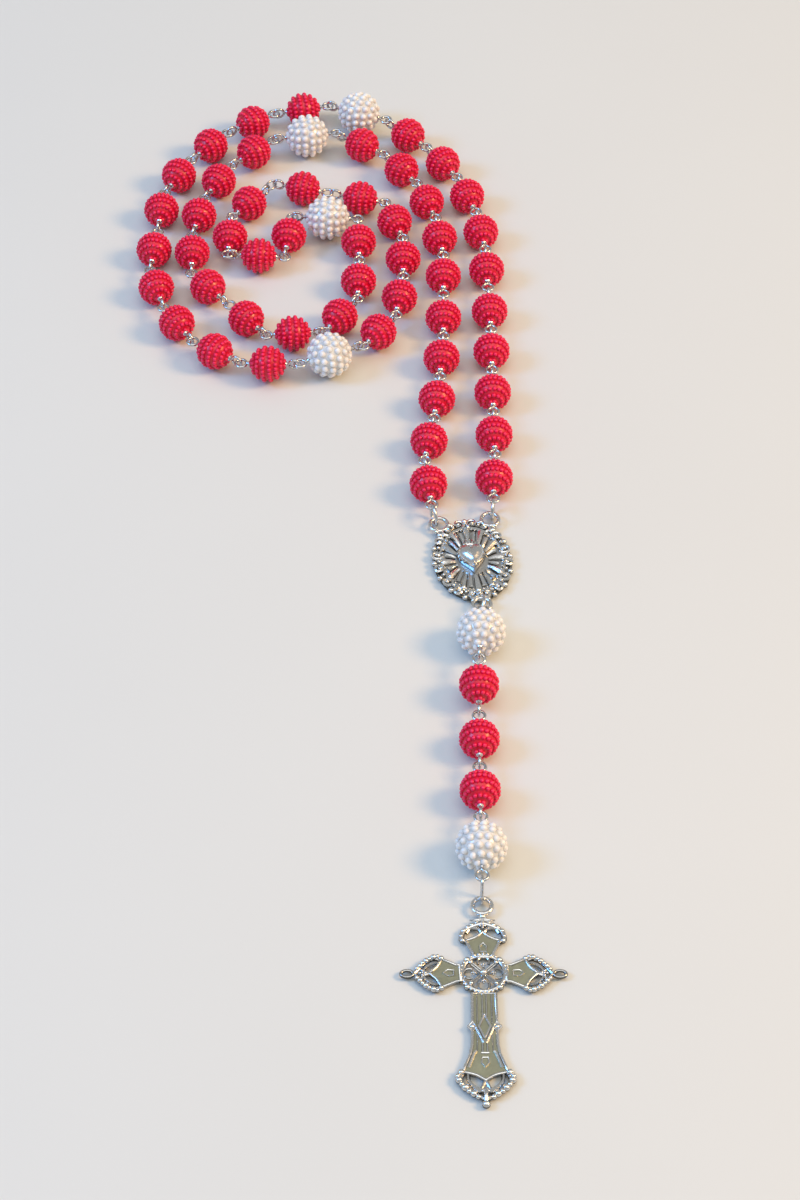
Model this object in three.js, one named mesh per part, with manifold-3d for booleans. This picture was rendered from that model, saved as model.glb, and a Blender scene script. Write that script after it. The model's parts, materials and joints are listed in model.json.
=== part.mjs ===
// A five-decade rosary: 53 small beads and 6 pearl beads on wire eye pins, each pin's eyes linked
// into its neighbours', a cast centre medal with three jump rings, and a filigree crucifix on an
// oval link. It lies on a flat surface at z = 0, in millimetres, with +Z up, +Y from the crucifix
// towards the loop of beads, and the origin under the middle of the medal.

import * as THREE from 'three';
import { mergeVertices } from 'three/addons/utils/BufferGeometryUtils.js';
import Module from 'manifold-3d';

const wasm = await Module();
wasm.setup();

// ---------- driving dimensions ----------

const smallBeadDiameter = 8;
const pearlBeadDiameter = 10;
const pinWire = 0.6;
const eyeOutside = 2.9;
const pinStem = 0.6; // straight wire between a bead and the middle of its eye's wire
const eyeSlip = 0.35; // how far one eye may ride above the middle of the eye it is linked to

const medalWidth = 16;
const medalLength = 22;
const medalPlate = 1.2;
const medalRim = 2.4; // width of the scrolled frame round the plate
const medalRimHeight = 2.2;
const medalTilt = 8; // degrees that the medal lies turned, anticlockwise
const earOutside = 4.4;
const earWire = 0.8;
const earHeight = 1.4; // middle of the ear's wire above the back of the medal
const earAngle = 27; // degrees of each upper ear from the medal's long axis

const ringOutside = 5.2;
const ringWire = 0.7;

const crossWidth = 30;
const crossUpper = 12.4; // from the middle of the arms to the top of the crest
const crossLower = 28.2; // from the middle of the arms to the lower tip
const crossBar = 4.3;
const crossPlate = 1.6;
const crossRelief = 0.5; // how far the raised plates stand above the openwork
const crossRingOutside = 4.4;
const crossRingWire = 0.9;
const crossRingHeight = 1.4; // middle of its wire above the back of the cross
const crossNeck = 0.5; // between the crest and the ring's wire
const crossHub = 4.6; // radius of the ring round the middle of the arms
const crossScroll = 1.3; // radius of the scrolls at the arms' ends

const linkLength = 6.2; // outside length of the oval link that carries the crucifix
const linkWidth = 3;
const linkWire = 0.6;
const steepestLink = 75; // degrees below level

const clearance = 0.2; // between wires that pass through one another

// How the strands lie, as places [x, y] on the surface that each one passes.
const leftRoute = [
  [-9.8, 21], [-7.4, 38], [-5.4, 60], [-5, 80], [-5.2, 92], [-7, 103], [-11, 114], [-17, 122.5],
  [-25, 129], [-36, 130.5], [-48, 125.5], [-56, 115], [-60, 103], [-60.8, 90], [-58.8, 76],
  [-50.5, 66], [-40, 63], [-29, 65.5], [-23.8, 75], [-23.6, 87], [-24, 100.2],
  [-38.6, 101.2], [-40, 88.6], [-52.6, 89.4], [-52.2, 102], [-44.4, 112],
];
const rightRoute = [
  [5, 22], [5, 38], [5, 60], [5, 80], [4.4, 90], [3, 101], [0, 112], [-6, 123],
  [-14, 132], [-25, 139], [-37, 140.5], [-50, 135], [-60.5, 124.5], [-67.5, 111], [-70.2, 97],
  [-69.4, 83], [-64.5, 69], [-55, 57.5], [-43.5, 53.5], [-31, 54.5], [-21, 60.5], [-15, 71],
  [-13.8, 83], [-14, 95], [-18, 107], [-31, 110], [-44, 113.8],
];
const pendantRoute = [[1, -24], [0.5, -50], [0.4, -90], [0.3, -120]];
const laidLength = 347.53; // of a side of the loop, as its route was laid
const laidFoot = 13.78; // from the medal's middle to the loop's first beads, as the routes were laid

// ---------- finishes ----------

const pinkResin = { color: 0xd81b54, roughness: 0.35, metalness: 0 };
const pearlResin = { color: 0xf2f0ee, roughness: 0.3, metalness: 0 };
const wireSteel = { color: 0xb9bcc0, roughness: 0.3, metalness: 1 };
const castSilver = { color: 0xa9aca8, roughness: 0.35, metalness: 1 };

// ---------- values that follow ----------

const pinRadius = pinWire / 2;
const eyeRadius = (eyeOutside - pinWire) / 2;
const earRadius = (earOutside - earWire) / 2;
const ringRadius = (ringOutside - ringWire) / 2;
const crossRingRadius = (crossRingOutside - crossRingWire) / 2;
const crossRingMiddle = crossUpper + crossNeck + crossRingRadius;
const smallBead = { radius: smallBeadDiameter / 2, finish: pinkResin };
const pearlBead = { radius: pearlBeadDiameter / 2, finish: pearlResin };

const degrees = Math.PI / 180;
const up = new THREE.Vector3(0, 0, 1);
const medalTurn = medalTilt * degrees;
const earAngles = [earAngle * degrees, -earAngle * degrees, Math.PI];
const earSetOut = 0.85; // the ears' middles stand this share of their radius outside the frame

// A jump ring stands on edge with the ear's wire in its hole, clear of its own wire.
const ringCentreHeight = earHeight + ringRadius - (ringWire + earWire) / 2 - clearance;
const eyeInRing = ringRadius - (ringWire + pinWire) / 2 - clearance;
const ringReach = (ringRadius ** 2 + eyeRadius ** 2 - eyeInRing ** 2) / (2 * eyeRadius);
const ringEyeHeight = ringCentreHeight + Math.sqrt(ringRadius ** 2 - ringReach ** 2);

// Which way a positive turn bends each link in turn: 1 bends it down and -1 up. The folds of a
// strand cancel one another, and the two strands of the loop fold at different places.
const leftFolds = [-1, 1, 1, -1];
const rightFolds = [-1, -1, 1, 1];
const pendantFolds = [-1, 1, 1, -1];

const countUp = (count) => Array.from({ length: count }, (_, i) => i + 1);

const rosary = new THREE.Group();

// ---------- solids ----------

function solidFrom(geometry) {
  const shell = geometry.index ? geometry.toNonIndexed() : geometry.clone();
  shell.deleteAttribute('normal');
  shell.deleteAttribute('uv');
  const welded = mergeVertices(shell, 1e-4);
  const mesh = new wasm.Mesh({
    numProp: 3,
    vertProperties: new Float32Array(welded.attributes.position.array),
    triVerts: new Uint32Array(welded.index.array),
  });
  return new wasm.Manifold(mesh);
}

function joined(geometries) {
  return geometries.map(solidFrom).reduce((whole, piece) => whole.add(piece));
}

function geometryOf(solid) {
  const mesh = solid.getMesh();
  const geometry = new THREE.BufferGeometry();
  geometry.setAttribute('position', new THREE.BufferAttribute(new Float32Array(mesh.vertProperties), 3));
  geometry.setIndex(new THREE.BufferAttribute(new Uint32Array(mesh.triVerts), 1));
  return geometry;
}

function wireRing(radius, wire, segments = 7) {
  return new THREE.TorusGeometry(radius, wire / 2, 4, segments);
}

function addPiece(name, geometry, finish, place, hinge) {
  const mesh = new THREE.Mesh(geometry, new THREE.MeshStandardMaterial(finish));
  mesh.name = name;
  if (place) mesh.applyMatrix4(place);
  mesh.userData.hinge = hinge;
  rosary.add(mesh);
  return mesh;
}

// ---------- beads on eye pins ----------

const eyeCentre = (bead) => bead.radius + pinStem + eyeRadius;
const eyeTip = (bead) => eyeCentre(bead) + eyeRadius;
const pinLength = (bead) => eyeCentre(bead) + eyeTip(bead);

// Two beads made as one piece are linked eye in eye with their wires pressed together.
const pressedWires = 0.6; // between the middles of two pressed wires, as a share of a wire
const pressedSlack = eyeRadius - pinWire * pressedWires;
const pairSpacing = pinLength(smallBead) + pressedSlack;

// The length of a side of the loop, as the mean of the left side's and the right side's.
const perSide = { small: 25, pearl: 2, pair: 2.5 };
const sideLength =
  perSide.small * pinLength(smallBead) +
  perSide.pearl * pinLength(pearlBead) +
  perSide.pair * pressedSlack;

// The pin runs along X. The near eye lies flat and the far eye stands upright, unless it is flat.
function beadParts(bead, at, farEyeFlat) {
  const ball = new THREE.SphereGeometry(bead.radius, 8, 5);
  ball.rotateZ(Math.PI / 2);
  const halfPin = bead.radius + pinStem + pinRadius / 3;
  const pin = new THREE.CylinderGeometry(pinRadius * 0.95, pinRadius * 0.95, 2 * halfPin, 4);
  pin.rotateZ(Math.PI / 2);
  const nearEye = wireRing(eyeRadius, pinWire);
  nearEye.rotateZ(Math.PI);
  nearEye.translate(-eyeCentre(bead), 0, 0);
  const farEye = wireRing(eyeRadius, pinWire);
  if (!farEyeFlat) farEye.rotateX(Math.PI / 2);
  farEye.translate(eyeCentre(bead), 0, 0);
  const parts = [ball, pin, nearEye, farEye];
  parts.forEach((part) => part.translate(at, 0, 0));
  return parts;
}

const smallBeadGeometry = geometryOf(joined(beadParts(smallBead, 0, false)));
const pearlBeadGeometry = geometryOf(joined(beadParts(pearlBead, 0, false)));
const lastPearlGeometry = geometryOf(joined(beadParts(pearlBead, 0, true)));
const pairGeometry = geometryOf(
  joined([...beadParts(smallBead, 0, false), ...beadParts(smallBead, pairSpacing, false)]),
);

// The oval link hangs from the lowest pearl's flat eye down to the ring of the crucifix.
const linkSpan = linkLength - 2 * linkWire - (pinWire + crossRingWire) / 2 - 2 * clearance;
const linkDrop = linkSpan * Math.sin(steepestLink * degrees);
const lastPearlFar = Math.min(pearlBead.radius, crossRingHeight + linkDrop);
const lastPearlSlope = (pearlBead.radius - lastPearlFar) / eyeTip(pearlBead);
const lastPearlNear = pearlBead.radius + lastPearlSlope * eyeCentre(pearlBead);

// Turns X onto the direction from one point to another, keeping the piece's own Y level.
function placeAlong(origin, from, to) {
  const along = new THREE.Vector3().subVectors(to, from).normalize();
  const side = new THREE.Vector3().crossVectors(up, along).normalize();
  const top = new THREE.Vector3().crossVectors(along, side);
  return new THREE.Matrix4().makeBasis(along, side, top).setPosition(origin);
}

// ---------- how a strand lies ----------

// Follows a route over the surface and finds where each pin's near and far eyes come.
class Strand {
  constructor(points, parentName, folds) {
    const route = points.map(([x, y]) => new THREE.Vector3(x, y, 0));
    this.curve = new THREE.CatmullRomCurve3(route, false, 'centripetal');
    this.samples = this.curve.getPoints(3000);
    this.index = 0;
    this.count = 0;
    this.end = this.samples[0].clone();
    this.parentName = parentName;
    this.folds = folds;
  }

  // The point of the route that lies a straight distance on from the last one.
  advance(distance) {
    const start = this.end;
    while (this.index < this.samples.length - 1) {
      this.index += 1;
      if (this.samples[this.index].distanceTo(start) >= distance) break;
    }
    const onward = new THREE.Vector3().subVectors(this.samples[this.index], start).setLength(distance);
    this.end = new THREE.Vector3().addVectors(start, onward);
    return this.end;
  }

  // A jump ring stands on edge through a medal's ear.
  addRing(name, earTip) {
    this.end = new THREE.Vector3(earTip.x, earTip.y, 0);
    const start = this.end;
    const ahead = this.advance(ringReach);
    const side = new THREE.Vector3().subVectors(ahead, start).normalize();
    side.crossVectors(up, side);
    const ring = wireRing(ringRadius, ringWire, 12);
    ring.rotateX(Math.PI / 2);
    const centre = new THREE.Vector3(earTip.x, earTip.y, ringCentreHeight);
    const hinge = { parent: this.parentName, point: earTip.clone(), axis: side.clone() };
    addPiece(name, ring, wireSteel, placeAlong(centre, start, ahead), hinge);
    this.parentName = name;
    this.hingePoint = centre;
    this.hingeAxis = side;
    this.nearHeight = ringEyeHeight;
  }

  // One bead, or a rigid pair, from the last eye's tip to its own. nextHeight is where the next
  // piece's near eye would like to be, and farHeight fixes this piece's own far eye.
  addBead(name, bead, geometry, length, nextHeight, farHeight) {
    const start = this.end;
    const tip = this.advance(length);
    const nearArm = eyeCentre(bead);
    const lift = Math.max(bead.radius - this.nearHeight, 0);
    const restingHeight = bead.radius + (lift * (length - nearArm)) / nearArm;
    const far = farHeight ?? Math.max(restingHeight, nextHeight - eyeSlip);
    const from = new THREE.Vector3(start.x, start.y, this.nearHeight);
    const to = new THREE.Vector3(tip.x, tip.y, far);
    const along = new THREE.Vector3().subVectors(to, from).normalize();
    const centre = from.clone().addScaledVector(along, nearArm);
    const sense = this.folds[this.count % this.folds.length];
    this.count += 1;
    const axis = this.hingeAxis.clone().multiplyScalar(sense);
    const hinge = { parent: this.parentName, point: this.hingePoint.clone(), axis };
    addPiece(name, geometry, bead.finish, placeAlong(centre, from, to), hinge);
    this.parentName = name;
    this.hingePoint = to.clone().addScaledVector(along, -eyeRadius);
    this.hingeAxis = new THREE.Vector3().crossVectors(up, along).normalize();
    this.nearHeight = THREE.MathUtils.clamp(nextHeight, far - eyeSlip, far + eyeSlip);
    this.eyeTip = to;
    this.along = along;
  }

  addSmallBead(name, nextHeight = smallBead.radius) {
    this.addBead(name, smallBead, smallBeadGeometry, pinLength(smallBead), nextHeight);
  }

  addPearl(name) {
    this.addBead(name, pearlBead, pearlBeadGeometry, pinLength(pearlBead), smallBead.radius);
  }

  addPair(name) {
    const length = pairSpacing + pinLength(smallBead);
    this.addBead(name, smallBead, pairGeometry, length, smallBead.radius);
  }

  // Beads of a decade in the order given; the fifth and sixth are one piece.
  addDecade(decade, numbers, nextHeight) {
    const last = numbers[numbers.length - 1];
    for (const number of numbers) {
      const label = String(number).padStart(2, '0');
      const height = number === last ? nextHeight : smallBead.radius;
      if (number === 5) this.addPair(`decade_${decade}_beads_05_06`);
      if (number !== 5 && number !== 6) this.addSmallBead(`decade_${decade}_bead_${label}`, height);
    }
  }
}

// A side's route, spread to the length of its beads from where the medal's rings end.
function spreadRoute(route) {
  const spread = sideLength / laidLength;
  const foot = (earTip(earAngles[0]).y + earTip(earAngles[1]).y) / 2 + ringReach;
  return route.map(([x, y]) => [x * spread, foot + (y - laidFoot) * spread]);
}

// ---------- centre medal ----------

function heartShape(width, height) {
  const heart = new THREE.Shape();
  heart.moveTo(0, -height / 2);
  heart.bezierCurveTo(-width * 0.2, -height * 0.25, -width / 2, 0, -width / 2, height * 0.22);
  heart.bezierCurveTo(-width / 2, height * 0.55, -width * 0.1, height * 0.55, 0, height * 0.28);
  heart.bezierCurveTo(width * 0.1, height * 0.55, width / 2, height * 0.55, width / 2, height * 0.22);
  heart.bezierCurveTo(width / 2, 0, width * 0.2, -height * 0.25, 0, -height / 2);
  return heart;
}

function earPlace(angle) {
  const halfWidth = medalWidth / 2;
  const halfLength = medalLength / 2;
  const edge = 1 / Math.hypot(Math.sin(angle) / halfWidth, Math.cos(angle) / halfLength);
  const reach = edge + earRadius * earSetOut;
  return new THREE.Vector3(-Math.sin(angle) * reach, Math.cos(angle) * reach, earHeight);
}

function earTip(angle) {
  const outward = new THREE.Vector3(-Math.sin(angle), Math.cos(angle), 0);
  const tip = earPlace(angle).addScaledVector(outward, earRadius);
  return tip.applyAxisAngle(up, medalTurn);
}

function medalGeometry() {
  const halfWidth = medalWidth / 2;
  const halfLength = medalLength / 2;
  const plate = new THREE.ExtrudeGeometry(
    new THREE.Shape().absellipse(0, 0, halfWidth - medalRim / 2, halfLength - medalRim / 2, 0, 2 * Math.PI),
    { depth: medalPlate, bevelEnabled: false, curveSegments: 4 },
  );
  const parts = [plate];
  const scrolls = 12;
  for (let i = 0; i < scrolls; i += 1) {
    const turn = (2 * Math.PI * i) / scrolls;
    const scroll = new THREE.CylinderGeometry(medalRim * 0.7, medalRim * 0.8, medalRimHeight, 6);
    scroll.rotateX(Math.PI / 2);
    const x = Math.cos(turn) * (halfWidth - medalRim * 0.7);
    const y = Math.sin(turn) * (halfLength - medalRim * 0.7);
    scroll.translate(x, y, medalRimHeight / 2);
    parts.push(scroll);
  }
  const heart = new THREE.ExtrudeGeometry(heartShape(medalWidth * 0.34, medalLength * 0.32), {
    depth: medalRimHeight - medalPlate,
    bevelSize: 0.6,
    bevelThickness: 0.5,
    bevelSegments: 1,
    curveSegments: 2,
  });
  heart.translate(0, 0, medalPlate);
  parts.push(heart);
  for (const angle of earAngles) {
    const ear = wireRing(earRadius, earWire, 10);
    const place = earPlace(angle);
    ear.translate(place.x, place.y, place.z);
    parts.push(ear);
  }
  return geometryOf(joined(parts));
}

// ---------- crucifix and its link ----------

// An arm that points along +Y from the middle of the cross and flares to a notched end.
function armShape(length, flare) {
  const half = crossBar / 2;
  const shoulder = length * 0.6;
  const arm = new THREE.Shape();
  arm.moveTo(-half, crossHub * 0.8);
  arm.lineTo(-half, shoulder * 0.72);
  arm.quadraticCurveTo(-half, shoulder, -flare, shoulder * 1.12);
  arm.quadraticCurveTo(-half, length * 0.76, 0, length * 0.92);
  arm.quadraticCurveTo(half, length * 0.76, flare, shoulder * 1.12);
  arm.quadraticCurveTo(half, shoulder, half, shoulder * 0.72);
  arm.lineTo(half, crossHub * 0.8);
  return arm;
}

function armParts(length, flare, turn) {
  const arm = new THREE.ExtrudeGeometry(armShape(length, flare), {
    depth: crossPlate,
    bevelEnabled: false,
    curveSegments: 2,
  });
  const parts = [arm];
  for (const side of [-1, 1]) {
    const scroll = wireRing(crossScroll, crossPlate * 0.6, 6);
    scroll.translate(side * crossScroll * 1.25, length * 0.8, crossPlate / 2);
    parts.push(scroll);
  }
  const tip = new THREE.SphereGeometry(crossPlate / 2, 6, 4);
  tip.translate(0, length - crossPlate / 2, crossPlate / 2);
  const stalk = new THREE.BoxGeometry(crossPlate * 0.6, length * 0.14, crossPlate * 0.8);
  stalk.translate(0, length * 0.9, crossPlate / 2);
  parts.push(tip, stalk);
  const raised = new THREE.BoxGeometry(crossBar * 0.45, length * 0.28, crossRelief * 2);
  raised.translate(0, length * 0.5, crossPlate);
  parts.push(raised);
  parts.forEach((part) => part.rotateZ(turn));
  return parts;
}

function crucifixGeometry() {
  const half = crossWidth / 2;
  const parts = [
    ...armParts(crossUpper, crossBar * 0.85, 0),
    ...armParts(half, crossBar * 0.85, Math.PI / 2),
    ...armParts(half, crossBar * 0.85, -Math.PI / 2),
    ...armParts(crossLower, crossBar * 0.95, Math.PI),
  ];
  const hub = wireRing(crossHub, crossPlate * 0.7, 12);
  hub.translate(0, 0, crossPlate / 2);
  parts.push(hub);
  for (const turn of [45, 135]) {
    const bar = new THREE.BoxGeometry(2 * crossHub, crossPlate * 0.6, crossPlate * 0.7);
    bar.rotateZ(turn * degrees);
    bar.translate(0, 0, crossPlate / 2);
    parts.push(bar);
  }
  const boss = new THREE.SphereGeometry(crossPlate * 0.8, 8, 4);
  boss.translate(0, 0, crossPlate * 0.8);
  parts.push(boss);
  const ring = wireRing(crossRingRadius, crossRingWire, 10);
  ring.translate(0, crossRingMiddle, crossRingHeight);
  const neck = new THREE.BoxGeometry(crossRingWire, crossNeck * 3, crossRingHeight + crossRingWire / 4);
  neck.translate(0, crossUpper + crossNeck * 0.3, (crossRingHeight + crossRingWire / 4) / 2);
  parts.push(ring, neck);
  return geometryOf(joined(parts));
}

// A round ring of wire pulled apart along X into an oval.
function ovalRing(length, width, wire) {
  const radius = (width - wire) / 2;
  const ring = wireRing(radius, wire, 12);
  ring.rotateZ(Math.PI / 12);
  const position = ring.attributes.position;
  const pull = (length - width) / 2;
  for (let i = 0; i < position.count; i += 1) {
    position.setX(i, position.getX(i) + Math.sign(position.getX(i)) * pull);
  }
  return ring;
}

function addCrucifix(strand) {
  const forward = new THREE.Vector3(strand.along.x, strand.along.y, 0).normalize();
  const side = new THREE.Vector3().crossVectors(up, forward);
  const drop = strand.eyeTip.z - crossRingHeight;
  const across = Math.sqrt(linkSpan ** 2 - drop ** 2);
  const ringTop = strand.eyeTip.clone().addScaledVector(forward, across).setZ(crossRingHeight);
  const slope = new THREE.Vector3().subVectors(ringTop, strand.eyeTip).normalize();
  const eyeEnd = clearance + (linkWire + pinWire) / 2;
  const linkMiddle = strand.eyeTip.clone().addScaledVector(slope, (linkLength - linkWire) / 2 - eyeEnd);
  const link = ovalRing(linkLength, linkWidth, linkWire);
  link.rotateX(Math.PI / 2);
  const linkPlace = placeAlong(linkMiddle, strand.eyeTip, ringTop);
  const linkHinge = { parent: strand.parentName, point: strand.eyeTip.clone(), axis: side.clone() };
  addPiece('crucifix_link', link, wireSteel, linkPlace, linkHinge);
  const reach = crossRingMiddle + crossRingRadius;
  const middle = ringTop.clone().addScaledVector(forward, reach).setZ(0);
  const place = new THREE.Matrix4().makeBasis(side, forward.clone().negate(), up).setPosition(middle);
  const hinge = { parent: 'crucifix_link', point: ringTop.clone(), axis: side.clone() };
  addPiece('crucifix', crucifixGeometry(), castSilver, place, hinge);
}

// ---------- assembly ----------

addPiece('centre_medal', medalGeometry(), castSilver, new THREE.Matrix4().makeRotationZ(medalTurn));

const leftPoints = [earTip(earAngles[0]), ...spreadRoute(leftRoute)];
const leftStrand = new Strand(leftPoints, 'centre_medal', leftFolds);
leftStrand.addRing('medal_ring_left', earTip(earAngles[0]));
leftStrand.addDecade(1, countUp(10), pearlBead.radius);
leftStrand.addPearl('our_father_bead_1');
leftStrand.addDecade(2, countUp(10), pearlBead.radius);
leftStrand.addPearl('our_father_bead_2');
leftStrand.addDecade(3, countUp(4), smallBead.radius);

const rightPoints = [earTip(earAngles[1]), ...spreadRoute(rightRoute)];
const rightStrand = new Strand(rightPoints, 'centre_medal', rightFolds);
rightStrand.addRing('medal_ring_right', earTip(earAngles[1]));
rightStrand.addDecade(5, countUp(10).reverse(), pearlBead.radius);
rightStrand.addPearl('our_father_bead_4');
rightStrand.addDecade(4, countUp(10).reverse(), pearlBead.radius);
rightStrand.addPearl('our_father_bead_3');
rightStrand.addDecade(3, countUp(10).slice(4).reverse(), smallBead.radius);

const pendant = new Strand([earTip(earAngles[2]), ...pendantRoute], 'centre_medal', pendantFolds);
pendant.addRing('medal_ring_bottom', earTip(earAngles[2]));
pendant.addPearl('pendant_pearl_bead_upper');
pendant.addSmallBead('pendant_small_bead_1');
pendant.addSmallBead('pendant_small_bead_2');
pendant.addSmallBead('pendant_small_bead_3', lastPearlNear);
pendant.addBead(
  'pendant_pearl_bead_lower',
  pearlBead,
  lastPearlGeometry,
  pinLength(pearlBead),
  smallBead.radius,
  lastPearlFar,
);
addCrucifix(pendant);

export default rosary;
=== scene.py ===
"""Looks for a five-decade rosary: pearled beads on wire eye pins, jump rings, a cast centre medal
and a cast filigree crucifix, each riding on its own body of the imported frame."""

import json
import math
import random

import bmesh
import bpy
from bpy.props import FloatProperty, FloatVectorProperty, IntProperty, PointerProperty
from mathutils import Matrix, Vector

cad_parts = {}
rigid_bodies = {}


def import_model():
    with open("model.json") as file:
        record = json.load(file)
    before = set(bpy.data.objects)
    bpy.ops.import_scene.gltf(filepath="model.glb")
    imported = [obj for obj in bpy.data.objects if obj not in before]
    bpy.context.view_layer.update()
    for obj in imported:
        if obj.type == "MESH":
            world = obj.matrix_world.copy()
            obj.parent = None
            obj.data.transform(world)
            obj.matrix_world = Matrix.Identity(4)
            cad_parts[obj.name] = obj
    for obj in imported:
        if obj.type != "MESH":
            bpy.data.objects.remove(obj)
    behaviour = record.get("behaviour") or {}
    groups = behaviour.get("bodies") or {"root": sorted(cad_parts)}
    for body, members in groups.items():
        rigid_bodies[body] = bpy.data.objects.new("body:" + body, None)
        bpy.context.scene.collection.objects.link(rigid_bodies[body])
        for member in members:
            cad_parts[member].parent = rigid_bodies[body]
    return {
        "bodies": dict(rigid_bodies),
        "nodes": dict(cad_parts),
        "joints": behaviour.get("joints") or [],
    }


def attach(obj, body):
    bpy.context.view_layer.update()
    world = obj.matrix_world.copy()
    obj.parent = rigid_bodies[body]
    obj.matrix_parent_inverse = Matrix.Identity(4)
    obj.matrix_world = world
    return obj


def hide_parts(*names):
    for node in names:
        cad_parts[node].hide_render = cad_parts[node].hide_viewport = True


bl_info = {
    "name": "Rosary",
    "version": (1, 0, 0),
    "blender": (4, 5, 0),
    "location": "View3D > Sidebar > Rosary",
    "description": "Builds a rosary's beads, wires, centre medal and crucifix",
    "category": "Object",
}

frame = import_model()

MM = 0.001
UP = Vector((0, 0, 1))


# ---------- sizes and colours ----------


class RosaryBeadSizes(bpy.types.PropertyGroup):
    small_bead: FloatProperty(
        name="Small bead",
        description="Outside diameter of a small bead",
        default=0.008,
        unit="LENGTH",
    )
    large_bead: FloatProperty(
        name="Large bead",
        description="Outside diameter of a white bead",
        default=0.010,
        unit="LENGTH",
    )
    small_pearl: FloatProperty(
        name="Pearl on small bead",
        description="Diameter of each half pearl on a small bead",
        default=0.00098,
        unit="LENGTH",
    )
    large_pearl: FloatProperty(
        name="Pearl on large bead",
        description="Diameter of each half pearl on a white bead",
        default=0.00152,
        unit="LENGTH",
    )
    small_rows: IntProperty(
        name="Rows on small bead",
        description="Rows of half pearls round a small bead",
        default=8,
    )
    large_rows: IntProperty(
        name="Rows on large bead",
        description="Rows of half pearls round a white bead",
        default=8,
    )
    pin_wire: FloatProperty(
        name="Pin wire",
        description="Thickness of the eye pins' wire",
        default=0.0006,
        unit="LENGTH",
    )
    eye_outside: FloatProperty(
        name="Eye",
        description="Outside diameter of an eye",
        default=0.0029,
        unit="LENGTH",
    )
    pin_stem: FloatProperty(
        name="Pin stem",
        description="Straight wire between a bead and its eye",
        default=0.0006,
        unit="LENGTH",
    )
    pair_spacing: FloatProperty(
        name="Pair spacing",
        description="Between the middles of the two beads of a linked pair",
        default=0.01344,
        unit="LENGTH",
    )
    ring_outside: FloatProperty(
        name="Jump ring",
        description="Outside diameter of a jump ring",
        default=0.0052,
        unit="LENGTH",
    )
    ring_wire: FloatProperty(
        name="Jump ring wire",
        description="Thickness of a jump ring's wire",
        default=0.0007,
        unit="LENGTH",
    )
    link_length: FloatProperty(
        name="Oval link length",
        description="Outside length of the link above the crucifix",
        default=0.0062,
        unit="LENGTH",
    )
    link_width: FloatProperty(
        name="Oval link width",
        description="Outside width of the link above the crucifix",
        default=0.003,
        unit="LENGTH",
    )


class RosaryCastSizes(bpy.types.PropertyGroup):
    medal_width: FloatProperty(
        name="Medal width",
        description="Width of the medal without its ears",
        default=0.016,
        unit="LENGTH",
    )
    medal_length: FloatProperty(
        name="Medal length",
        description="Length of the medal without its ears",
        default=0.022,
        unit="LENGTH",
    )
    medal_tilt: FloatProperty(
        name="Medal turn",
        description="How far the medal lies turned",
        default=math.radians(8),
        unit="ROTATION",
    )
    ear_outside: FloatProperty(
        name="Ear",
        description="Outside diameter of an ear of the medal",
        default=0.0044,
        unit="LENGTH",
    )
    ear_wire: FloatProperty(
        name="Ear thickness",
        description="Thickness of an ear of the medal",
        default=0.0008,
        unit="LENGTH",
    )
    cross_ring_outside: FloatProperty(
        name="Crucifix ring",
        description="Outside diameter of the crucifix's ring",
        default=0.0044,
        unit="LENGTH",
    )
    cross_ring_wire: FloatProperty(
        name="Crucifix ring thickness",
        description="Thickness of the crucifix's ring",
        default=0.0009,
        unit="LENGTH",
    )
    cross_reach: FloatProperty(
        name="Crucifix reach",
        description="From the middle of the arms to the far side of the crucifix's ring",
        default=0.0164,
        unit="LENGTH",
    )


class RosaryFinishes(bpy.types.PropertyGroup):
    berry: FloatVectorProperty(
        name="Berry",
        description="Colour of the small beads' pearls",
        default=(0.97, 0.004, 0.105),
        subtype="COLOR",
    )
    # Painted shade: the small beads' colour down between their rows of pearls, darker where shade
    # falls.
    berry_crevice_shade: FloatVectorProperty(
        name="Berry groove",
        description="Colour between the rows of the small beads",
        default=(0.66, 0.0, 0.028),
        subtype="COLOR",
    )
    pearl: FloatVectorProperty(
        name="Pearl",
        description="Colour of the white beads' pearls",
        default=(0.90, 0.89, 0.875),
        subtype="COLOR",
    )
    # Painted shade: the white beads' colour down between their pearls, darker where shade falls.
    pearl_crevice_shade: FloatVectorProperty(
        name="Pearl ground",
        description="Colour of a white bead between its pearls",
        default=(0.76, 0.75, 0.73),
        subtype="COLOR",
    )
    silver: FloatVectorProperty(
        name="Silver",
        description="Colour of the cast metal",
        default=(0.86, 0.86, 0.84),
        subtype="COLOR",
    )
    tarnish: FloatVectorProperty(
        name="Tarnish",
        description="Colour of the cast metal's recesses",
        default=(0.39, 0.39, 0.275),
        subtype="COLOR",
    )
    # Painted shade: the dark colour painted into the cast metal's recesses, in a band of heights
    # just above its back.
    recess_shade: FloatVectorProperty(
        name="Recess",
        description="Colour of the dark lines in the cast metal",
        default=(0.075, 0.07, 0.055),
        subtype="COLOR",
    )
    steel: FloatVectorProperty(
        name="Steel",
        description="Colour of the wire",
        default=(0.72, 0.73, 0.74),
        subtype="COLOR",
    )
    floor: FloatVectorProperty(
        name="Floor",
        description="Colour of the floor",
        default=(0.682, 0.702, 0.672),
        subtype="COLOR",
    )


# ---------- finishes ----------


def new_finish(name):
    """An empty material with its Principled shader, its nodes and its links."""
    material = bpy.data.materials.new(name)
    material.use_nodes = True
    nodes = material.node_tree.nodes
    shader = nodes["Principled BSDF"]
    return material, nodes, material.node_tree.links, shader


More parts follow.
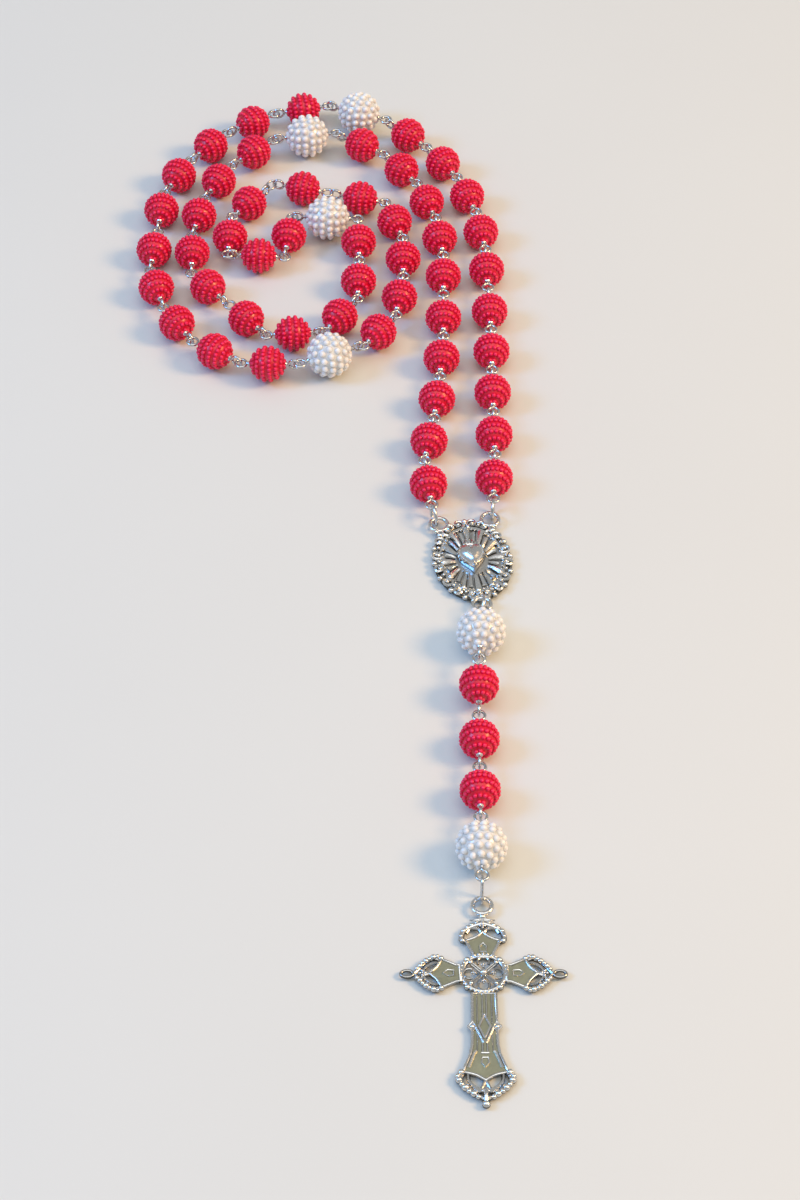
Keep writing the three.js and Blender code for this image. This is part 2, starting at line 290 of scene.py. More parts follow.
def surface_grain():
    """A shader group: cloudy and fine variation over a surface, with a bumped normal."""
    group = bpy.data.node_groups.get("Surface grain")
    if group:
        return group
    group = bpy.data.node_groups.new("Surface grain", "ShaderNodeTree")
    face = group.interface
    for name, kind, default in (
        ("Cloud size", "NodeSocketFloat", 300.0),
        ("Fine size", "NodeSocketFloat", 2500.0),
        ("Depth", "NodeSocketFloat", 0.2),
    ):
        socket = face.new_socket(name=name, in_out="INPUT", socket_type=kind)
        socket.default_value = default
    for name, kind in (
        ("Clouds", "NodeSocketFloat"),
        ("Fine", "NodeSocketFloat"),
        ("Normal", "NodeSocketVector"),
    ):
        face.new_socket(name=name, in_out="OUTPUT", socket_type=kind)
    nodes, links = group.nodes, group.links
    entry = nodes.new("NodeGroupInput")
    leave = nodes.new("NodeGroupOutput")
    place = nodes.new("ShaderNodeTexCoord")
    clouds = nodes.new("ShaderNodeTexNoise")
    clouds.inputs["Detail"].default_value = 3
    fine = nodes.new("ShaderNodeTexNoise")
    fine.inputs["Detail"].default_value = 4
    bump = nodes.new("ShaderNodeBump")
    bump.inputs["Distance"].default_value = 0.00005
    for texture, size in ((clouds, "Cloud size"), (fine, "Fine size")):
        links.new(place.outputs["Object"], texture.inputs["Vector"])
        links.new(entry.outputs[size], texture.inputs["Scale"])
    links.new(fine.outputs["Fac"], bump.inputs["Height"])
    links.new(entry.outputs["Depth"], bump.inputs["Strength"])
    links.new(clouds.outputs["Fac"], leave.inputs["Clouds"])
    links.new(fine.outputs["Fac"], leave.inputs["Fine"])
    links.new(bump.outputs["Normal"], leave.inputs["Normal"])
    return group


def add_grain(nodes, cloud_size, fine_size, depth):
    grain = nodes.new("ShaderNodeGroup")
    grain.node_tree = surface_grain()
    grain.inputs["Cloud size"].default_value = cloud_size
    grain.inputs["Fine size"].default_value = fine_size
    grain.inputs["Depth"].default_value = depth
    return grain


def shaded(colour, share):
    """A colour made darker or lighter."""
    return tuple(share * part for part in colour)


def blended(nodes, links, factor, low, high):
    """A colour that runs from low to high with a factor."""
    mix = nodes.new("ShaderNodeMix")
    mix.data_type = "RGBA"
    mix.inputs["A"].default_value = (*low, 1)
    mix.inputs["B"].default_value = (*high, 1)
    links.new(factor, mix.inputs["Factor"])
    return mix


def spread(nodes, links, value, low, high):
    """A value from 0 to 1 mapped onto a range."""
    mapped = nodes.new("ShaderNodeMapRange")
    mapped.inputs["From Min"].default_value = 0.3
    mapped.inputs["From Max"].default_value = 0.7
    mapped.inputs["To Min"].default_value = low
    mapped.inputs["To Max"].default_value = high
    links.new(value, mapped.inputs["Value"])
    return mapped


def pearled_resin(name, crown_colour, crevice_shade_colour, roughness, coat, scatter):
    """Pearly resin with painted shade: its colour runs from a darker shade colour down between
    the pearls up to the pearls' crowns.
    """
    material, nodes, links, shader = new_finish(name)
    height = nodes.new("ShaderNodeAttribute")
    height.attribute_name = "crown"
    grain = add_grain(nodes, 260, 3000, 0.12)
    # Painted shade: the crown height, 0 at the core and 1 at a pearl's top, blends the shade
    # colour into the pearls' colour.
    colour = blended(nodes, links, height.outputs["Fac"], crevice_shade_colour, crown_colour)
    cloudy = nodes.new("ShaderNodeMix")
    cloudy.data_type = "RGBA"
    cloudy.blend_type = "MULTIPLY"
    cloudy.inputs["Factor"].default_value = 1
    shade = blended(nodes, links, grain.outputs["Clouds"], (0.82, 0.80, 0.82), (1.1, 1.12, 1.1))
    links.new(colour.outputs["Result"], cloudy.inputs["A"])
    links.new(shade.outputs["Result"], cloudy.inputs["B"])
    links.new(cloudy.outputs["Result"], shader.inputs["Base Color"])
    rough = spread(nodes, links, grain.outputs["Fine"], roughness - 0.05, roughness + 0.08)
    links.new(rough.outputs["Result"], shader.inputs["Roughness"])
    links.new(grain.outputs["Normal"], shader.inputs["Normal"])
    shader.inputs["Coat Weight"].default_value = coat
    shader.inputs["Coat Roughness"].default_value = 0.12
    shader.inputs["Subsurface Weight"].default_value = scatter
    shader.inputs["Subsurface Radius"].default_value = (0.5, 0.4, 0.4)
    shader.inputs["Subsurface Scale"].default_value = 0.001
    return material


def bright_metal(name, bright, dull, roughness, depth):
    """Metal with cloudy tarnish and fine wear."""
    material, nodes, links, shader = new_finish(name)
    grain = add_grain(nodes, 420, 2600, depth)
    colour = blended(nodes, links, grain.outputs["Clouds"], dull, bright)
    links.new(colour.outputs["Result"], shader.inputs["Base Color"])
    rough = spread(nodes, links, grain.outputs["Fine"], roughness - 0.06, roughness + 0.1)
    links.new(rough.outputs["Result"], shader.inputs["Roughness"])
    links.new(grain.outputs["Normal"], shader.inputs["Normal"])
    shader.inputs["Metallic"].default_value = 1
    return material


def recess_shaded_metal(name, bright, dull, recess_shade):
    """Cast metal with painted shade: its back and its high parts keep the metal's colour, and the
    heights of its recesses are painted dark.
    """
    material = bright_metal(name, bright, dull, 0.2, 0.35)
    nodes, links = material.node_tree.nodes, material.node_tree.links
    shader = nodes["Principled BSDF"]
    place = nodes.new("ShaderNodeTexCoord")
    split = nodes.new("ShaderNodeSeparateXYZ")
    links.new(place.outputs["Object"], split.inputs["Vector"])
    level = nodes.new("ShaderNodeMapRange")
    level.inputs["From Max"].default_value = 2 * MM
    links.new(split.outputs["Z"], level.inputs["Value"])
    # Painted shade: from 0.3 mm up the colour darkens to the recess shade colour, which holds
    # from 0.6 to 0.9 mm where the recesses lie, and it is back to the metal's colour by 1.3 mm.
    ramp = nodes.new("ShaderNodeValToRGB")
    stops = ramp.color_ramp.elements
    stops[0].position, stops[1].position = 0.15, 0.65
    stops[0].color = (1, 1, 1, 1)
    for position in (0.3, 0.46):
        stops.new(position).color = (0, 0, 0, 1)
    links.new(level.outputs["Result"], ramp.inputs["Fac"])
    mix = nodes.new("ShaderNodeMix")
    mix.data_type = "RGBA"
    mix.inputs["A"].default_value = (*recess_shade, 1)
    links.new(ramp.outputs["Color"], mix.inputs["Factor"])
    links.new(shader.inputs["Base Color"].links[0].from_socket, mix.inputs["B"])
    links.new(mix.outputs["Result"], shader.inputs["Base Color"])
    return material


def finish_named(name):
    """Each finish is made once, from the scene's colours."""
    made = bpy.data.materials.get(name)
    if made:
        return made
    tone = bpy.context.scene.rosary_finishes
    if name == "berry_resin":
        return pearled_resin(name, tone.berry, tone.berry_crevice_shade, 0.34, 0.12, 0.0)
    if name == "pearl_resin":
        return pearled_resin(name, tone.pearl, tone.pearl_crevice_shade, 0.22, 0.6, 0.35)
    if name == "steel_wire":
        return bright_metal(name, tone.steel, shaded(tone.steel, 0.72), 0.2, 0.15)
    if name == "worked_silver":
        return recess_shaded_metal(name, tone.silver, shaded(tone.silver, 0.72), tone.recess_shade)
    if name == "aged_silver":
        return bright_metal(name, shaded(tone.silver, 0.8), shaded(tone.silver, 0.5), 0.3, 0.45)
    return bright_metal(name, shaded(tone.tarnish, 1.35), shaded(tone.tarnish, 0.85), 0.38, 0.5)


# ---------- shapes, in millimetres ----------


def add_to(whole, part):
    """Moves a part's faces into the whole."""
    spare = bpy.data.meshes.new("spare")
    part.to_mesh(spare)
    part.free()
    whole.from_mesh(spare)
    bpy.data.meshes.remove(spare)


def add_ball(whole, at, radius, flat=1.0, segments=12, rings=8):
    part = bmesh.new()
    bmesh.ops.create_uvsphere(part, u_segments=segments, v_segments=rings, radius=radius)
    bmesh.ops.scale(part, vec=(1, 1, flat), verts=part.verts)
    bmesh.ops.translate(part, vec=at, verts=part.verts)
    add_to(whole, part)


def add_wire(whole, points, radius, sides=7, end_radius=None):
    """A round wire extruded from point to point, running to end_radius, with closed ends."""
    growth = 0 if end_radius is None else end_radius - radius
    points = [Vector(p) for p in points]
    part = bmesh.new()
    section = bmesh.ops.create_circle(part, segments=sides, radius=1, cap_ends=True)["verts"]
    edges = [e for e in part.edges if all(v in section for v in e.verts)]
    turned = Matrix.Identity(4)
    before = Vector((0, 0, 1))
    last = Matrix.Identity(4)
    for i, point in enumerate(points):
        ahead = points[min(i + 1, len(points) - 1)] - points[max(i - 1, 0)]
        if ahead.length < 1e-6:
            ahead = before
        turned = before.rotation_difference(ahead).to_matrix().to_4x4() @ turned
        before = ahead
        share = i / (len(points) - 1)
        size = radius + growth * share
        here = Matrix.Translation(point) @ turned @ Matrix.Scale(size, 4)
        if i > 0:
            grown = bmesh.ops.extrude_edge_only(part, edges=edges)["geom"]
            section = [g for g in grown if isinstance(g, bmesh.types.BMVert)]
            edges = [g for g in grown if isinstance(g, bmesh.types.BMEdge)]
            edges = [e for e in edges if all(v in section for v in e.verts)]
        bmesh.ops.transform(part, matrix=here @ last.inverted(), verts=section)
        last = here
    bmesh.ops.edgeloop_fill(part, edges=edges)
    add_to(whole, part)


def arc(middle, radius, start, end, steps, stretch=1.0, height=0.0):
    """Points along an arc in degrees, anticlockwise from +X when end is above start."""
    found = []
    for i in range(steps + 1):
        turn = math.radians(start + (end - start) * i / steps)
        x = middle[0] + radius * math.cos(turn)
        y = middle[1] + radius * stretch * math.sin(turn)
        found.append((x, y, height))
    return found


def smoothed(points, steps=4):
    """Points of a soft curve through the given ones."""
    points = [Vector(p) for p in points]
    found = []
    for i in range(len(points) - 1):
        a = points[max(i - 1, 0)]
        b, c = points[i], points[i + 1]
        d = points[min(i + 2, len(points) - 1)]
        for k in range(steps):
            t = k / steps
            bend = (c - a) * t + (2 * a - 5 * b + 4 * c - d) * t * t
            bend += (3 * b - a - 3 * c + d) * t**3
            found.append(b + bend / 2)
    found.append(points[-1])
    return found


def add_plate(whole, outline, bottom, top, rim):
    """A cast plate from its outline, dark on top, with a bright rim along its edge."""
    part = bmesh.new()
    corners = [part.verts.new((x, y, bottom)) for x, y in outline]
    face = part.faces.new(corners)
    grown = bmesh.ops.extrude_face_region(part, geom=[face], use_keep_orig=True)["geom"]
    raised = [g for g in grown if isinstance(g, bmesh.types.BMVert)]
    bmesh.ops.translate(part, vec=(0, 0, top - bottom), verts=raised)
    bmesh.ops.recalc_face_normals(part, faces=part.faces)
    lower = [f for f in part.faces if f.normal.z < -0.9]
    brink = list({e for f in lower for e in f.edges})
    bmesh.ops.bevel(
        part, geom=brink, offset=0.08, segments=1, profile=0.5, affect="EDGES", material=-1
    )
    for face in part.faces:
        face.material_index = 1 if face.normal.z > 0.9 else 0
    add_to(whole, part)
    path = [(x, y, top) for x, y in outline]
    add_wire(whole, path + path[:2], rim, 8)


def add_copy(whole, template, place):
    """Adds a copy of a mesh at a place."""
    copy = template.copy()
    copy.transform(place)
    whole.from_mesh(copy)
    bpy.data.meshes.remove(copy)


def turned_copies(whole, part, turns):
    """Adds a part once for each turn about Z, in degrees."""
    spare = bpy.data.meshes.new("spare")
    part.to_mesh(spare)
    part.free()
    for turn in turns:
        add_copy(whole, spare, Matrix.Rotation(math.radians(turn), 4, "Z"))
    bpy.data.meshes.remove(spare)


def finished(name, shape, place, finishes, body, sharp=50):
    """Makes the piece at its place in metres, with its finishes, riding on its body."""
    bmesh.ops.transform(shape, matrix=place @ Matrix.Scale(MM, 4), verts=shape.verts)
    bmesh.ops.recalc_face_normals(shape, faces=shape.faces)
    mesh = bpy.data.meshes.new(name)
    shape.to_mesh(mesh)
    shape.free()
    for finish in finishes:
        mesh.materials.append(finish_named(finish))
    mesh.shade_smooth()
    mesh.set_sharp_from_angle(angle=math.radians(sharp))
    piece = bpy.data.objects.new(name, mesh)
    bpy.context.scene.collection.objects.link(piece)
    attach(piece, body)
    return piece


# ---------- where things are in the frame ----------


def pivot_of(body):
    return next(Vector(j["pos_m"]) for j in frame["joints"] if j["child"] == body)


def axis_of(body):
    return next(Vector(j["axis"]) for j in frame["joints"] if j["child"] == body).normalized()


def tips_of(body):
    """The near and far ends of a bead's pin, near being the end at its own pivot."""
    points = [v.co.copy() for v in frame["nodes"][body].data.vertices]
    one = points[0]
    for _ in range(3):
        other = max(points, key=lambda p: (p - one).length)
        one = max(points, key=lambda p: (p - other).length)
    pivot = pivot_of(body)
    if (one - pivot).length < (other - pivot).length:
        return one, other
    return other, one


def bead_places(body):
    """A matrix for each bead of a body: X runs along its pin, and Z is its upper side."""
    near, far = tips_of(body)
    along = (far - near).normalized()
    side = UP.cross(along).normalized()
    top = along.cross(side)
    turn = Matrix((along, side, top)).transposed().to_4x4()
    middle = (near + far) / 2
    if "beads_" not in body:
        return [Matrix.Translation(middle) @ turn]
    half = along * bpy.context.scene.rosary_beads.pair_spacing / 2
    return [Matrix.Translation(middle - half) @ turn, Matrix.Translation(middle + half) @ turn]


def is_white(body):
    return "our_father" in body or "pearl" in body


# ---------- beads ----------


def ball_template(diameter, pearl, rows, pitch, sunk, segments):
    """A ball covered in rows of half pearls round its pin, with each vertex's height kept."""
    radius, pearl_radius = diameter / 2, pearl / 2
    seat = radius - pearl_radius
    core = seat + pearl_radius * sunk
    shape = bmesh.new()
    crown = shape.verts.layers.float.new("crown")
    bmesh.ops.create_uvsphere(shape, u_segments=28, v_segments=18, radius=core)
    bmesh.ops.rotate(shape, matrix=Matrix.Rotation(math.pi / 2, 3, "Y"), verts=shape.verts)
    one = bmesh.new()
    bmesh.ops.create_uvsphere(one, u_segments=segments, v_segments=5, radius=pearl_radius)
    bmesh.ops.bisect_plane(
        one,
        geom=one.verts[:] + one.edges[:] + one.faces[:],
        plane_co=(0, 0, -pearl_radius * 0.35),
        plane_no=(0, 0, -1),
        clear_outer=True,
    )
    bmesh.ops.holes_fill(one, edges=[e for e in one.edges if e.is_boundary])
    spare = bpy.data.meshes.new("spare")
    one.to_mesh(spare)
    one.free()
    for row in range(rows):
        lean = math.pi * (row + 0.5) / rows
        count = max(4, round(2 * math.pi * seat * math.sin(lean) / pitch))
        for k in range(count):
            turn = 2 * math.pi * (k + 0.5 * (row % 2)) / count
            outward = Vector(
                (math.cos(lean), math.sin(lean) * math.cos(turn), math.sin(lean) * math.sin(turn))
            )
            stand = outward.to_track_quat("Z", "Y").to_matrix().to_4x4()
            add_copy(shape, spare, Matrix.Translation(outward * seat) @ stand)
    bpy.data.meshes.remove(spare)
    # The crown height kept here is what the resin finish uses to paint shade down between the
    # pearls.
    for vert in shape.verts:
        rise = (vert.co.length - core) / (radius - core)
        vert[crown] = min(max(rise, 0.0), 1.0)
    return shape


def eye_points(sign, reach, middle, radius, upright):
    """The stem and the loop of one eye, from inside the bead out and round."""
    points = [(sign * reach * 0.8, 0, 0), (sign * (middle - radius - 0.05), 0, 0)]
    for k in range(1, 24):
        turn = 2 * math.pi * (k / 24)
        x = sign * (middle - radius * math.cos(turn))
        y = radius * math.sin(turn)
        points.append((x, 0, y) if upright else (x, y, 0))
    return points


def pin_template(diameter, far_upright):
    size = bpy.context.scene.rosary_beads
    wire = size.pin_wire / 2 / MM
    loop = (size.eye_outside - size.pin_wire) / 2 / MM
    reach = diameter / 2
    middle = reach + size.pin_stem / MM + loop
    shape = bmesh.new()
    add_wire(shape, eye_points(-1, reach, middle, loop, False), wire, sides=8)
    add_wire(shape, eye_points(1, reach, middle, loop, far_upright), wire, sides=8)
    for sign in (-1, 1):
        collar = bmesh.new()
        bmesh.ops.create_cone(
            collar,
            segments=14,
            radius1=wire * 2.2,
            radius2=wire * 1.7,
            depth=0.25,
            cap_ends=True,
        )
        lean = Matrix.Rotation(sign * math.pi / 2, 3, "Y")
        bmesh.ops.rotate(collar, matrix=lean, verts=collar.verts)
        bmesh.ops.translate(collar, vec=(sign * (reach + 0.02), 0, 0), verts=collar.verts)
        add_to(shape, collar)
    return shape


def kept_mesh(shape):
    mesh = bpy.data.meshes.new("template")
    shape.to_mesh(mesh)
    shape.free()
    return mesh


def copies_at(template, places, spins):
    """One shape made of a template at each place, turned on its pin."""
    shape = bmesh.new()
    for place, spin in zip(places, spins):
        turned = place @ Matrix.Rotation(spin, 4, "X")
        turned.translation = place.translation / MM
        add_copy(shape, template, turned)
    return shape


def string_beads(bodies, ball, diameter, finish, seed):
    """Puts a pearled ball and its eye pin on each body."""
    chance = random.Random(seed)
    here = Matrix.Identity(4)
    ball_mesh = kept_mesh(ball)
    pin_mesh = kept_mesh(pin_template(diameter, True))
    flat_mesh = kept_mesh(pin_template(diameter, False))
    for body in bodies:
        places = bead_places(body)
        spins = [chance.uniform(0, 2 * math.pi) for _ in places]
        balls = copies_at(ball_mesh, places, spins)
        piece = finished(f"{body}.ball", balls, here, [finish], body, sharp=80)
        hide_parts(body)
        wires = flat_mesh if body == "pendant_pearl_bead_lower" else pin_mesh
        pins = copies_at(wires, places, [0.0] * len(places))
        finished(f"{body}.pin", pins, here, ["steel_wire"], body)
    for mesh in (ball_mesh, pin_mesh, flat_mesh):
        bpy.data.meshes.remove(mesh)


class ROSARY_OT_small_beads(bpy.types.Operator):
    """Make the small berry beads and their eye pins"""

    bl_idname = "rosary.small_beads"
    bl_label = "Small beads"

    def execute(self, context):
        size = context.scene.rosary_beads
        diameter = size.small_bead / MM
        pearl = size.small_pearl / MM
        ball = ball_template(diameter, pearl, size.small_rows, pearl * 0.97, -0.05, 9)
        bodies = [b for b in frame["bodies"] if "bead" in b and not is_white(b)]
        string_beads(bodies, ball, diameter, "berry_resin", 11)
        return {"FINISHED"}


class ROSARY_OT_large_beads(bpy.types.Operator):
    """Make the white pearl beads and their eye pins"""

    bl_idname = "rosary.large_beads"
    bl_label = "Large beads"

    def execute(self, context):
        size = context.scene.rosary_beads
        diameter = size.large_bead / MM
        pearl = size.large_pearl / MM
        ball = ball_template(diameter, pearl, size.large_rows, pearl * 1.09, 0.1, 12)
        bodies = [b for b in frame["bodies"] if is_white(b)]
        string_beads(bodies, ball, diameter, "pearl_resin", 23)
        return {"FINISHED"}


# ---------- rings and links ----------


def upright_place(body):
    """The middle and plane of a body's ring: X along its longest way, Y across its wire."""
    points = [v.co.copy() for v in frame["nodes"][body].data.vertices]
    middle = sum(points, Vector()) / len(points)
    one = max(points, key=lambda p: (p - middle).length)
    across = axis_of(body)
    along = (one - middle - across * (one - middle).dot(across)).normalized()
    top = along.cross(across)
    turn = Matrix((along, top, across)).transposed().to_4x4()
    return Matrix.Translation(middle) @ turn


class ROSARY_OT_rings(bpy.types.Operator):
    """Make the jump rings and the oval link"""

    bl_idname = "rosary.rings"
    bl_label = "Rings and links"

    def execute(self, context):
        size = context.scene.rosary_beads
        wire = size.ring_wire / 2 / MM
        radius = (size.ring_outside - size.ring_wire) / 2 / MM
        for body in ("medal_ring_left", "medal_ring_right", "medal_ring_bottom"):
            shape = bmesh.new()
            add_wire(shape, arc((0, 0), radius, 4, 356, 40), wire, sides=10)
            place = upright_place(body)
            piece = finished(f"{body}.wire", shape, place, ["steel_wire"], body)
            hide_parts(body)
        wire = size.pin_wire / 2 / MM
        half_width = (size.link_width - size.pin_wire) / 2 / MM
        half_straight = (size.link_length - size.link_width) / 2 / MM
        shape = bmesh.new()
        path = arc((half_straight, 0), half_width, -90, 90, 14)
        path += arc((-half_straight, 0), half_width, 90, 268, 14)
        path += [(half_straight * 0.9, -half_width, 0)]
        add_wire(shape, path, wire, sides=10)
        body = "crucifix_link"
        place = upright_place(body)
        piece = finished(f"{body}.wire", shape, place, ["steel_wire"], body)
        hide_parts(body)
        return {"FINISHED"}


class ROSARY_OT_closing_link(bpy.types.Operator):
    """Make the small link that closes the loop of beads"""

    bl_idname = "rosary.closing_link"
    bl_label = "Closing link"

    def execute(self, context):
        size = context.scene.rosary_beads
        one = tips_of("decade_3_bead_04")[1]
        other = tips_of("decade_3_beads_05_06")[1]
        middle = (one + other) / 2
        along = (other - one).normalized()
        side = UP.cross(along).normalized()
        turn = Matrix((along, side, along.cross(side))).transposed().to_4x4()
        reach = (other - one).length / 2 / MM + 0.9
        shape = bmesh.new()
        path = arc((0, 0), reach, 8, 352, 28, stretch=0.62)
        add_wire(shape, path, size.pin_wire / 2 / MM * 0.85, sides=8)
        place = Matrix.Translation(middle) @ turn
        finished("closing_link", shape, place, ["steel_wire"], "decade_3_bead_04")
        return {"FINISHED"}


# ---------- centre medal ----------


def heart_outline(width, height, steps=10):
    """Points of a heart with its point at -Y."""
    found = []
    for k in range(4 * steps):
        t = 2 * math.pi * k / (4 * steps)
        x = math.sin(t) ** 3
        y = (13 * math.cos(t) - 5 * math.cos(2 * t) - 2 * math.cos(3 * t) - math.cos(4 * t)) / 17
        found.append((x * width / 2, (y + 0.13) * height / 1.85))
    return found


def add_heart(whole, width, height, bottom):
    """A domed heart: its edge is extruded inwards and upwards in smaller and smaller steps."""
    part = bmesh.new()
    ring = [part.verts.new((x, y, bottom)) for x, y in heart_outline(width, height)]
    part.faces.new(ring)
    edges = list(part.edges)
    middle = Matrix.Translation((0, -height * 0.04, 0))
    dome = height * 0.31
    edge = 0.3
    last, before = 1.0, -edge
    for share in (1.0, 0.975, 0.92, 0.83, 0.71, 0.56, 0.38, 0.16):
        level = dome * math.sqrt(1 - share * share)
        grown = bmesh.ops.extrude_edge_only(part, edges=edges)["geom"]
        ring = [g for g in grown if isinstance(g, bmesh.types.BMVert)]
        edges = [g for g in grown if isinstance(g, bmesh.types.BMEdge)]
        edges = [e for e in edges if all(v in ring for v in e.verts)]
        size = (share / last, share / last, 1)
        bmesh.ops.scale(part, vec=size, space=middle, verts=ring)
        bmesh.ops.translate(part, vec=(0, 0, level - before), verts=ring)
        last, before = share, level
    bmesh.ops.edgeloop_fill(part, edges=edges)
    add_to(whole, part)


def on_oval(half_width, half_length, turn):
    return Vector((math.cos(turn) * half_width, math.sin(turn) * half_length, 0))


def oval_path(half_width, half_length, steps, height):
    """Points all round an oval, ending where they start."""
    turns = [2 * math.pi * k / steps for k in range(steps + 1)]
    return [on_oval(half_width, half_length, turn) + UP * height for turn in turns]


class ROSARY_OT_medal(bpy.types.Operator):
    """Make the cast centre medal with its heart, rays, scrolled frame and three ears"""

    bl_idname = "rosary.medal"
    bl_label = "Centre medal"

    def execute(self, context):
        size = context.scene.rosary_cast
        half_width = size.medal_width / 2 / MM
        half_length = size.medal_length / 2 / MM
        shape = bmesh.new()
        inner = oval_path(half_width - 1.0, half_length - 1.0, 56, 0)[:-1]
        add_plate(shape, [(p.x, p.y) for p in inner], 0, 0.85, 0.3)
        self.add_rays(shape, half_width, half_length)
        self.add_frame(shape, half_width, half_length)
        self.add_crown(shape, half_length)
        place = Matrix.Rotation(size.medal_tilt, 4, "Z")
        self.add_ears(shape, size, place)
        body, slot = "centre_medal", "cast_silver"
        metals = ["worked_silver", "aged_silver"]
        piece = finished(f"{body}.casting", shape, place, metals, body)
        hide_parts(body)
        heart = bmesh.new()
        add_heart(heart, 6.0, 8.4, 0.75)
        finished(f"{body}.heart", heart, place, metals[:1], body, sharp=88)
        return {"FINISHED"}

    def add_rays(self, shape, half_width, half_length):
        """Fluted rays between the heart and the frame."""
        rays = 24
        for k in range(rays):
            turn = 2 * math.pi * k / rays
            long_ray = k % 2 == 0
            across, along, wide_end = (0.74, 0.76, 0.74) if long_ray else (0.66, 0.68, 0.5)
            start = on_oval(half_width * 0.42, half_length * 0.36, turn)
            end = on_oval(half_width * across, half_length * along, turn)
            start.z, end.z = 0.95, 1.15
            middle = (start + end) / 2 + UP * 0.22
            add_wire(shape, [start, middle, end], 0.34, 7, end_radius=wide_end)
            if long_ray:
                add_ball(shape, end, 0.64, flat=0.8, segments=10, rings=6)

    def add_frame(self, shape, half_width, half_length):
        """Scrolls, grains and leaves round the edge."""
        for share, radius, height in ((0.80, 0.3, 1.25), (0.955, 0.36, 0.75)):
            path = oval_path(half_width * share, half_length * share, 64, height)
            add_wire(shape, path, radius, 7)
        scrolls = 16
        for k in range(scrolls):
            turn = 2 * math.pi * (k + 0.5) / scrolls
            at = on_oval(half_width * 0.885, half_length * 0.9, turn)
            facing = math.degrees(math.atan2(at.y / half_length, at.x / half_width))
            flip = 1 if k % 2 else -1
            path = []
            for n in range(17):
                lean = math.radians(facing + flip * (150 - n * 24))
                curl = 1.15 - n * 0.052
                x, y = at.x + curl * math.cos(lean), at.y + curl * math.sin(lean)
                path.append((x, y, 1.35 + n * 0.022))
            add_wire(shape, path, 0.36, 7, end_radius=0.22)
            add_ball(shape, (at.x, at.y, 1.5), 0.42, segments=10, rings=6)
            between = on_oval(half_width * 0.97, half_length * 0.975, 2 * math.pi * k / scrolls)
            add_ball(shape, (between.x, between.y, 1.05), 0.62, segments=10, rings=6)
            leaf = on_oval(half_width * 0.86, half_length * 0.88, 2 * math.pi * k / scrolls)
            add_ball(shape, (leaf.x, leaf.y, 1.7), 0.34, segments=8, rings=6)
        grains = 52
        for k in range(grains):
            turn = 2 * math.pi * (k + 0.5) / grains
            at = on_oval(half_width * 0.745, half_length * 0.755, turn)
            add_ball(shape, (at.x, at.y, 1.3), 0.2, segments=7, rings=5)

    def add_crown(self, shape, half_length):
        """The flame and the little band above the heart."""
        foot = half_length * 0.3
        band = smoothed([(-1.5, foot, 1.35), (0, foot + 0.45, 1.75), (1.5, foot, 1.35)])
        add_wire(shape, band, 0.28, 7)
        for lean, rise in ((-1.1, 1.5), (-0.5, 2.2), (0.1, 2.7), (0.65, 2.1), (1.15, 1.4)):
            tongue = smoothed(
                [
                    (lean * 0.5, foot, 1.4),
                    (lean * 1.1, foot + rise * 0.5, 1.75),
                    (lean * 0.8, foot + rise, 1.45),
                ]
            )
            add_wire(shape, tongue, 0.34, 7, end_radius=0.1)

    def add_ears(self, shape, size, place):
        """Cast loops round the holes that the jump rings pass through."""
        ear = (size.ear_outside - size.ear_wire) / 2 / MM
        wire = size.ear_wire / 2 / MM
        for body in ("medal_ring_left", "medal_ring_right", "medal_ring_bottom"):
            tip = place.inverted() @ pivot_of(body) / MM
            outward = Vector((tip.x, tip.y, 0)).normalized()
            middle = tip - outward * ear
            add_wire(shape, arc(middle, ear, 0, 360, 30, height=tip.z), wire, 9)
            side = Vector((-outward.y, outward.x, 0))
            for sign in (-1, 1):
                foot = middle - outward * (ear * 0.75) + side * sign * ear * 0.85
                add_ball(shape, (foot.x, foot.y, tip.z - 0.1), wire * 1.35, segments=10, rings=6)


# ---------- crucifix ----------


def on_side(sign, points):
    """Points given for the right side, or mirrored to the left when sign is -1."""
    return [(sign * x, y, z) for x, y, z in points]


def shield_outline(narrow, wide, foot, shoulder, corner, peak):
    """A shield that widens from its foot and ends in two hollow arcs that meet in a point."""
    middle = corner + (peak - corner) * 0.42
    hollow = smoothed([(wide, corner, 0), (wide * 0.42, middle, 0), (0, peak, 0)])
    right = [(narrow, foot), (narrow, shoulder), (wide, corner)]
    right += [(p.x, p.y) for p in hollow[1:-1]]
    return right + [(0, peak)] + [(-x, y) for x, y in reversed(right)]


def add_pentagon(shape, middle, size, height):
    """A small raised outline with its point towards +Y."""
    x, y = middle
    corners = [(-0.7, -1), (0.7, -1), (0.85, 0.2), (0, 1), (-0.85, 0.2), (-0.7, -1), (0.7, -1)]
    path = [(x + a * size * 0.8, y + b * size, height) for a, b in corners]
    add_wire(shape, path, 0.2, 7)


def add_floret(shape, middle, size, height):
    """A tiny flower of four petals round a grain."""
    for turn in (0, 90, 180, 270):
        lean = math.radians(turn)
        at = (middle[0] + size * math.cos(lean), middle[1] + size * math.sin(lean), height)
        add_ball(shape, at, size * 0.62, segments=8, rings=6)
    add_ball(shape, (*middle, height + size * 0.3), size * 0.5, segments=8, rings=6)


